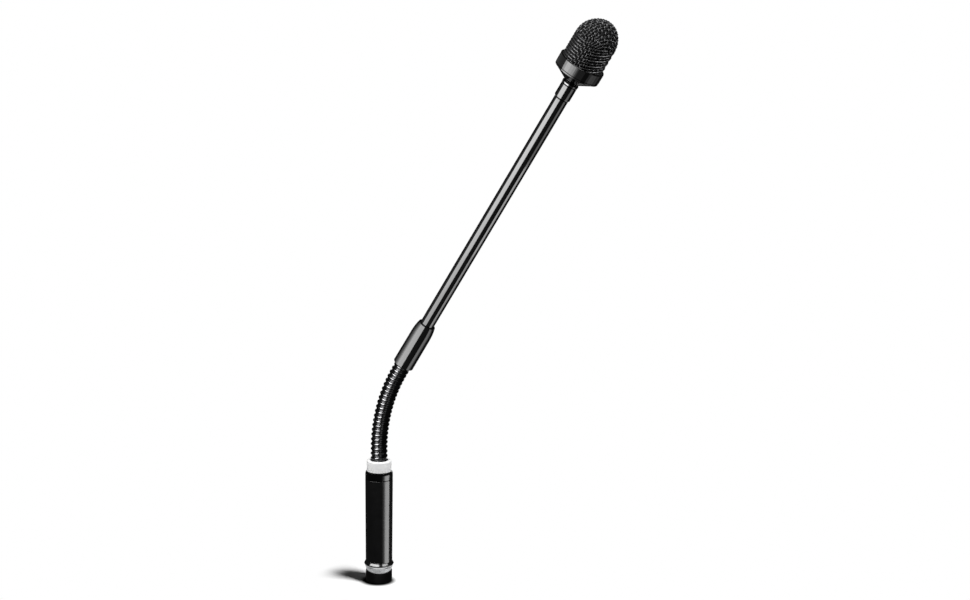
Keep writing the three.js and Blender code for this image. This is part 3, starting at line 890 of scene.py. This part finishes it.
def crown_wires(dome, points, faces):
    """The crown: a sheet of wire cloth pressed over the end of the dome."""
    nodes = weave_nodes(dome)
    lanes = range(-CROWN_COUNT + 1, CROWN_COUNT)
    for first_way in (True, False):
        for lane in lanes:
            run = []
            for i in lanes:
                x, y = (i, lane) if first_way else (lane, i)
                place = nodes[(abs(x), abs(y))] * np.array([-1 if x < 0 else 1, -1 if y < 0 else 1, 1])
                lift = over_or_under(i + lane) * (1 if first_way else -1)
                if place[2] > CROWN_FOOT - CROWN_PITCH:
                    run.append(place + dome.normal(place) * lift * CROWN_WIRE)
            if len(run) > 2:
                path = [p for p in smooth_path(run, CROWN_STEPS) if p[2] > CROWN_FOOT]
                if len(path) > 3:
                    add_wire(path, np.full(len(path), CROWN_WIRE), points, faces)


def wall_rise(turn):
    """How much higher the wires round the wall lie towards each direction: level on the camera's left,
    climbing on its right."""
    return np.interp(turn, (-90, FOLD, 90, 180), (0, 0, WALL_CLIMB, WALL_CLIMB_BACK), period=360)


def rib_share(turn, row):
    """How far a wire round the wall stands out as a rib: 0 near the fold, 1 at the sides."""
    away = abs((turn - FOLD + 180) % 360 - 180)
    share = min(1.0, max(0.0, (away - FOLD_HALF) / FOLD_FADE))
    right = 0 < (turn - FOLD) % 360 < 180
    return share * (RIB_FAINT if right and row % 2 else 1.0)


def wall_wire(knots, radii, points, faces):
    """Adds the lengths of one wire that lie between the foot of the dome and the top of its wall."""
    path = smooth_path(knots, WALL_STEPS)
    thick = np.interp(np.arange(len(path)) / WALL_STEPS, np.arange(len(radii)), radii)
    run = []
    for place, radius in [*zip(path, thick), (None, 0)]:
        if place is not None and GRILLE_FOOT < place[2] < WALL_TOP:
            run.append((place, radius))
            continue
        if len(run) > 3:
            add_wire([p for p, _ in run], [r for _, r in run], points, faces)
        run = []


def wall_knot(dome, turn, row, lift):
    """Where a wire of the wall passes a crossing; `lift` is its distance outwards, in wire radii."""
    place = dome.at(turn, GRILLE_FOOT + row * WALL_PITCH + wall_rise(turn))
    return place + dome.normal(place) * lift * WALL_WIRE


def wall_wires(dome, points, faces):
    """The wall: wires round the dome woven with wires that run up it."""
    turns = [360 * column / WALL_COLUMNS for column in range(WALL_COLUMNS)]
    for row in WALL_ROWS:
        knots, radii = [], []
        for column, turn in enumerate([*turns, turns[0]]):
            share = rib_share(turn, row)
            lift = over_or_under(row + column) * (1 - RIB_CRIMP * share) + RIB_LIFT * share
            knots.append(wall_knot(dome, turn, row, lift))
            radii.append(WALL_WIRE * (1 + RIB_GAIN * share))
        wall_wire(knots, radii, points, faces)
    for column, turn in enumerate(turns):
        share = rib_share(turn, 0)
        knots = []
        for row in WALL_ROWS:
            lift = -over_or_under(row + column) * (1 - RIB_CRIMP * share) - UPRIGHT_SINK * share
            knots.append(wall_knot(dome, turn, row, lift))
        radii = [WALL_WIRE * (1 - UPRIGHT_THIN * share)] * len(knots)
        wall_wire(knots, radii, points, faces)


def lean_over(point, sideways):
    """The crown sits slightly askew: heights above the shoulder shift sideways, most at the top."""
    share = max(0.0, (point.z - GRILLE_SHOULDER) / (GRILLE_TOP - GRILLE_SHOULDER))
    return point + sideways * DOME_LEAN * share ** 2


def build_weave(looks):
    """The wire dome. Its pattern is laid out from the side that faces the camera."""
    view = boom_place().inverted().to_3x3() @ -camera_axes()[3]
    front = math.atan2(view.y, view.x)
    dome = Dome(2 * WALL_WIRE)
    points, faces = [], []
    crown_wires(dome, points, faces)
    wall_start = len(points)
    wall_wires(dome, points, faces)
    crown_turn = Matrix.Rotation(front + math.radians(45), 3, "Z")
    wall_turn = Matrix.Rotation(front, 3, "Z")
    sideways = Vector((-math.sin(front), math.cos(front), 0))
    for index, point in enumerate(points):
        turn = crown_turn if index < wall_start else wall_turn
        points[index] = lean_over(turn @ Vector(point), sideways)
    weave = make_mesh("woven_wire_dome", points, faces, looks["wire"], boom_place(), sharp=60)
    register(weave, "boom", "grille_mesh")


def dome_outline(foot, inset, steps=20):
    """Outline of a surface `inset` below the dome, from its foot to its top."""
    radius = GRILLE_RADIUS - inset
    rise = GRILLE_TOP - GRILLE_SHOULDER - inset
    outline = [(radius, foot)]
    for angle in np.linspace(0, math.pi / 2, steps):
        across = math.cos(angle) ** (2 / DOME_POWER)
        up = math.sin(angle) ** (2 / DOME_POWER)
        outline.append((radius * across, GRILLE_SHOULDER + rise * up))
    return outline


def build_foam(looks):
    foot = COLLAR_TOP - 0.4
    outline = [*dome_outline(foot, FOAM_OUTSIDE), *reversed(dome_outline(foot, FOAM_INSIDE))]
    liner = turned("dome_foam", outline, looks["foam"], boom_place(), FOAM_COLUMNS)
    register(liner, "boom", "foam_liner")


# ---- Kept CAD nodes ----


def dress_kept_nodes(looks):
    """The pieces inside keep their CAD shape and get the look with their slot's name."""
    for part in frame["record"]["subparts"]:
        finish = looks.get(part["material_slot"])
        if finish is not None:
            mesh = frame["nodes"][part["node"]].data
            mesh.materials.clear()
            mesh.materials.append(finish)


# ---- Studio ----

# What the names of the pieces that share their lights start with.
TUBE = ("tube_body", "stem_body", "stem_ring")
SLEEVE = ("sleeve_body",)
COLLAR = ("head_collar_ring",)
SATIN_BASE = ("housing_tube", "housing_cap")
BRIGHT_RING = ("bright_thread_ring",)
LAMP_RING = ("light_ring_diffuser",)
NECK = ("neck_coil",)
DOME = ("woven_wire_dome", "dome_foam")


NECK_MIDDLE = 125                       # the neck's lights aim at this point of the centreline
FLOOR_REACH = 20000
GLOW = ((0, 0, 0), 25, 47)              # centre, and where the floor's own glow starts and is full
PAINTED_CONTACT_SHADOW = ((-0.1, -1.9, 0), 9.0, 14.2)  # centre and the two radii of the painted contact shadow under the plug


def soft_box(name, lit, middle, outward, upright, size, radiance):
    """A rectangular soft box that faces back along `outward` and lights only the pieces whose names start
    with one of `lit`. Lengths in millimetres, radiance in watts per square metre and steradian."""
    data = bpy.data.lights.new(name, "AREA")
    data.shape = "RECTANGLE"
    data.size = size[0] * MM
    data.size_y = size[1] * MM
    data.energy = radiance * math.pi * size[0] * size[1] * MM * MM
    light = bpy.data.objects.new(name, data)
    side = upright.cross(outward).normalized()
    turn = Matrix((side, outward.cross(side).normalized(), outward)).transposed().to_4x4()
    light.matrix_world = Matrix.Translation(middle * MM) @ turn
    light.visible_camera = False
    bpy.context.scene.collection.objects.link(light)
    group = bpy.data.collections.new(f"{name}_lit")
    for piece in bpy.data.objects:
        if piece.type == "MESH" and piece.name.startswith(lit):
            group.objects.link(piece)
    light.light_linking.receiver_collection = group


def beside(name, lit, low, high, across, distance, radiance, longer):
    """A long soft box beside a straight piece, where the camera sees it mirrored in the piece between two
    shares of its half width. Shares are negative on the camera's left."""
    axis = (high - low).normalized()
    middle = (low + high) / 2
    view = (bpy.context.scene.camera.matrix_world.translation / MM - middle).normalized()
    climb = view.dot(axis)
    toward = (view - axis * climb).normalized()
    turns = [2 * math.asin(share) for share in across]
    outward = Matrix.Rotation(sum(turns) / 2, 3, axis) @ toward
    half = (turns[1] - turns[0]) / 2
    drop = distance * climb / math.sqrt(1 - climb ** 2)
    size = (2 * distance * math.tan(half), (high - low).length + longer)
    soft_box(name, lit, middle + outward * distance - axis * drop, outward, axis, size, radiance)


def strips(lit, low, high, distance, longer, bands):
    """Soft boxes side by side; each band is (share, share, radiance)."""
    for start, end, radiance in bands:
        name = f"{lit[0]}_{start}_{high.z:.0f}"
        beside(name, lit, low, high, (start, end), distance, radiance, longer)


def around(name, lit, target, azimuth, elevation, distance, size, radiance):
    """A soft box aimed at a target from a compass direction: azimuth 0 is -Y, 90 is +X."""
    turn, rise = math.radians(azimuth), math.radians(elevation)
    outward = Vector((
        math.sin(turn) * math.cos(rise), -math.cos(turn) * math.cos(rise), math.sin(rise),
    ))
    soft_box(name, lit, target + outward * distance, outward, Vector((0, 0, 1)), size, radiance)


def make_floor():
    """A white floor. Near the object the key light shows its shadow; further out it glows by itself, so it
    runs into the white ground. A soft dark patch under the plug stands for the contact shadow."""
    made = Recipe("studio_floor", (1, 1, 1), 1.0)
    set_inputs(made.shader, Specular_IOR_Level=0.0, Emission_Color=(1, 1, 1, 1))

    def ramp_by_distance(centre, near, far, low, high):
        moved = made.node("ShaderNodeVectorMath")
        moved.operation = "DISTANCE"
        moved.inputs[1].default_value = [c * MM for c in centre]
        made.link(made.place, moved.inputs[0])
        reach = {"From_Min": near * MM, "From_Max": far * MM}
        ramp = made.node("ShaderNodeMapRange", **reach, To_Min=low, To_Max=high)
        ramp.interpolation_type = "SMOOTHSTEP"
        made.link(moved.outputs["Value"], ramp.inputs["Value"])
        return ramp.outputs["Result"]

    # The floor's colour fades out where its glow takes over, and is darkened under the plug by a painted
    # contact shadow.
    dimmed = made.node("ShaderNodeMath")
    dimmed.operation = "MULTIPLY"
    made.link(ramp_by_distance(*GLOW, 0.9, 0.0), dimmed.inputs[0])
    made.link(ramp_by_distance(*PAINTED_CONTACT_SHADOW, 0.0, 1.0), dimmed.inputs[1])
    tint = made.node("ShaderNodeCombineColor")
    for channel in ("Red", "Green", "Blue"):
        made.link(dimmed.outputs["Value"], tint.inputs[channel])
    made.link(tint.outputs["Color"], made.shader.inputs["Base Color"])
    made.link(ramp_by_distance(*GLOW, 0.0, 1.0), made.shader.inputs["Emission Strength"])

    corners = [(x * FLOOR_REACH, y * FLOOR_REACH, 0) for x, y in ((-1, -1), (1, -1), (1, 1), (-1, 1))]
    floor = make_mesh("floor", corners, [(0, 1, 2, 3)], made.material)
    floor.visible_glossy = False
    floor.visible_diffuse = False
    floor.visible_shadow = False


def make_world():
    """White to the camera, dim to everything else."""
    world = bpy.data.worlds.new("studio")
    bpy.context.scene.world = world
    world.use_nodes = True
    tree = world.node_tree
    background = tree.nodes["Background"]
    set_inputs(background, Color=(1, 1, 1, 1))
    path = tree.nodes.new("ShaderNodeLightPath")
    strength = tree.nodes.new("ShaderNodeMapRange")
    set_inputs(strength, To_Min=0.03, To_Max=1.0)
    tree.links.new(path.outputs["Is Camera Ray"], strength.inputs["Value"])
    tree.links.new(strength.outputs["Result"], background.inputs["Strength"])


def light_boom(place):
    """Sleeve, tube and collar, which mirror strips with hard edges."""
    low, high = place @ Vector((0, 0, SLEEVE_BASE)), place @ Vector((0, 0, COLLAR_TOP))
    halfway = low.lerp(high, 0.62)
    left = (-0.59, -0.075)
    strips(TUBE, low, high, 500, 600, ((*left, 4.7), (-0.78, -0.62, 0.15)))
    for step in range(1, 5):    # the strip on the left grows brighter towards the head
        upper = low.lerp(high, 0.2 * step)
        longer = 60 + 0.31 * (high - upper).length
        beside(f"tube_left_{step}", TUBE, upper, high, left, 500 - 15 * step, 0.75, longer)
    strips(TUBE, low, halfway, 400, 130, ((0.48, 0.6, 3.1), (0.6, 0.72, 1.9)))
    strips(TUBE, halfway, high, 400, 200, ((0.49, 0.71, 1.15),))
    strips(SLEEVE, low, high, 480, 600, (
        (-0.82, -0.72, 0.4), (-0.72, -0.62, 1.15), (-0.62, -0.52, 3.0), (-0.52, -0.05, 5.1),
        (0.5, 0.68, 1.5), (0.68, 0.76, 0.6),
    ))
    strips(COLLAR, low.lerp(high, 0.8), high, 480, 400, (
        (-0.95, -0.63, 0.15), (-0.61, -0.52, 3.6), (-0.52, -0.34, 5.6), (-0.34, -0.22, 4.3),
        (-0.22, -0.11, 3.4), (-0.11, -0.04, 1.6), (-0.04, 0.02, 0.5), (0.02, 0.3, 0.1),
        (0.48, 0.57, 0.22), (0.57, 0.66, 0.5), (0.66, 0.77, 0.4), (0.77, 0.88, 0.15),
    ))
    strips(("stem_ring",), low.lerp(high, 0.8), high, 350, 300, ((-0.66, -0.1, 5.0),))


def light_base():
    """Housing, light ring, bright ring and plug."""
    low, high = Vector((0, 0, HOUSING_BASE)), Vector((0, 0, CAP_TOP))
    strips(SATIN_BASE, low, high, 400, 200, ((0.26, 0.36, 0.4), (0.36, 0.43, 1.8), (0.43, 0.71, 4.9)))
    around("lip_left", ("housing_tube",), low, -12, 30, 500, (700, 130), 15)
    around("lip_right", ("housing_tube",), low, 80, 30, 500, (400, 130), 10)
    around("ring_left", LAMP_RING, high, -38, 45, 500, (800, 700), 2.5)
    around("ring_right", LAMP_RING, high, 86, 45, 500, (800, 700), 2.5)
    around("bright_ring_right", BRIGHT_RING, low, 134, -10, 400, (900, 500), 0.6)
    around("bright_ring_left", BRIGHT_RING, low, -86, -10, 400, (900, 500), 0.5)
    around("bright_ring_side", BRIGHT_RING, low, 80, -15, 390, (500, 300), 0.25)
    around("bright_ring_below", BRIGHT_RING, low, CAMERA_SIDE, -35, 400, (1500, 800), 0.42)
    around("bright_ring_low", BRIGHT_RING, low, CAMERA_SIDE, -68, 380, (500, 180), 0.5)
    around("plug_front", ("plug_shell",), low, CAMERA_SIDE, 25, 500, (400, 400), 0.8)


def light_neck():
    x, z, _ = on_centreline(NECK_MIDDLE)
    middle = Vector((x, 0, z))
    around("neck_bright", NECK, middle, -12, 20, 500, (360, 430), 32)
    around("neck_tall", NECK, middle, -17, -12, 500, (320, 500), 3.2)
    around("neck_right", NECK, middle, 45, -8, 500, (180, 600), 0.9)


def light_head(head):
    """The top of the collar, the cone and the wire dome."""
    around("collar_top", COLLAR, head, 60, 62, 500, (400, 300), 5)
    around("cone_below", ("head_underside",), head, 195, -50, 500, (260, 260), 0.3)
    around("dome_left", DOME, head, -40, 35, 500, (320, 320), 10)
    around("dome_right", DOME, head, 95, 20, 500, (300, 300), 7.5)
    around("dome_top", DOME, head, 40, 65, 500, (300, 300), 4.5)


def make_studio():
    """The ground and the lights, with one dim light on everything from behind."""
    bpy.context.scene.view_settings.view_transform = "Standard"
    make_world()
    make_floor()
    around("key", ("floor",), Vector((0, 0, 0)), 84, 50, 850, (240, 240), 62)
    place = boom_place()
    head = place @ Vector((0, 0, GRILLE_SHOULDER))
    light_boom(place)
    light_base()
    light_neck()
    light_head(head)
    outside = (
        "plug", "contact", *BRIGHT_RING, *SATIN_BASE, *LAMP_RING, *NECK, *SLEEVE, *TUBE, *COLLAR, *DOME,
    )
    middle = (Vector((0, 0, HOUSING_BASE)) + head) / 2
    around("back", outside, middle, CAMERA_SIDE + 180, -8, 700, (300, 700), 1.5)


# ---- Assembly ----

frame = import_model()
make_camera()

looks = {
    "plug": plug_paint(),
    "insulator": moulded("plug_insulator_plastic", grey(0.02), 0.45),
    "pin": plated("plated_pin", (0.82, 0.78, 0.68), 0.2),
    "silver": bright_steel(),
    "satin": satin_paint(),
    "gloss": gloss_paint(),
    "light": light_plastic(),
    "neck": blackened_steel(),
    "wire": grille_wire(),
    "foam": foam(),
    "circuit_board": moulded("solder_mask", (0.03, 0.12, 0.06), 0.4),
    "led_lamp": moulded("lamp_epoxy", (0.8, 0.76, 0.5), 0.2),
    "chip_black": moulded("chip_epoxy", grey(0.015), 0.55),
    "capacitor_foil": moulded("capacitor_sleeve", (0.04, 0.05, 0.09), 0.35),
    "brass_fittings": plated("turned_brass", (0.72, 0.58, 0.3), 0.3),
    "lead_sheath": moulded("lead_sheath", grey(0.02), 0.6),
    "capsule_rubber": moulded("capsule_rubber", grey(0.02), 0.8),
    "capsule_metal": plated("capsule_can", (0.72, 0.73, 0.75), 0.25),
    "capsule_film": plated("metallised_film", (0.85, 0.86, 0.87), 0.12),
}

build_plug(looks)
build_thread_ring(looks)
build_housing(looks)
build_neck(looks)
build_boom(looks)
build_head(looks)
build_weave(looks)
build_foam(looks)
dress_kept_nodes(looks)
make_studio()
